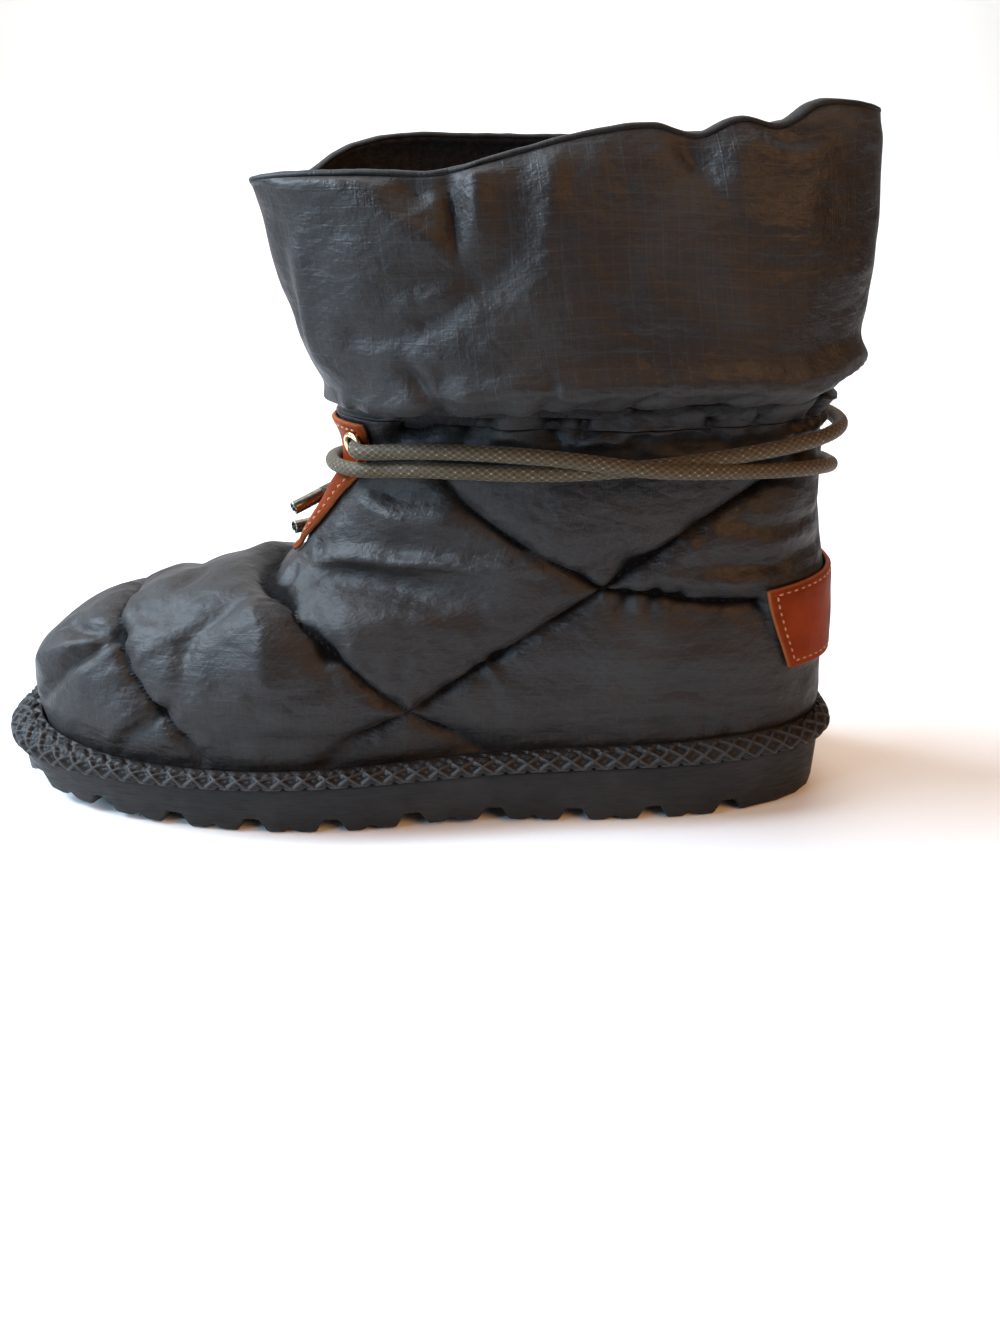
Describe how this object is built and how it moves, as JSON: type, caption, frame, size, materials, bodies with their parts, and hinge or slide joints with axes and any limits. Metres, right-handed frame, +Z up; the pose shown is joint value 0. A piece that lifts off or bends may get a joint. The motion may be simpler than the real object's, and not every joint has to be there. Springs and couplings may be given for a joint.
{
  "type": "quilted snow boot",
  "caption": "Left ankle-high quilted snow boot with padded nylon upper and cuff, cord tie, leather instep and heel patches, ribbed welt and lugged foam sole, open at the collar.",
  "frame": {"origin": "middle of the boot's box in plan, on the ground, measured without the free cord ends and knot", "axes": "+X runs from the toe to the heel, +Y to the inner side of the foot, +Z up; the outer side faces -Y"},
  "size_m": [0.284, 0.1046, 0.209],
  "materials": {
    "nylon": "black ripstop nylon with a satin sheen",
    "binding": "matt black tape",
    "foam_rubber": "matt moulded foam rubber",
    "welt_rubber": "moulded rubber with crossed ribs",
    "leather": "smooth tan leather",
    "brass": "polished",
    "gunmetal": "grey metal, satin",
    "cord": "braided olive cord",
    "lining": "black fleece"
  },
  "bodies": {
    "root": {"outsole": "foam_rubber", "welt": "welt_rubber", "insole": "lining", "upper": "nylon", "shaft": "nylon", "heel_patch": "leather", "instep_panel": "leather", "eyelet_outer": "brass", "eyelet_inner": "brass", "collar_binding": "binding", "ankle_cord": "cord", "cord_knot": "cord", "cord_end_outer": "cord", "cord_end_inner": "cord", "cord_tip_outer": "gunmetal", "cord_tip_inner": "gunmetal"}
  },
  "joints": []
}
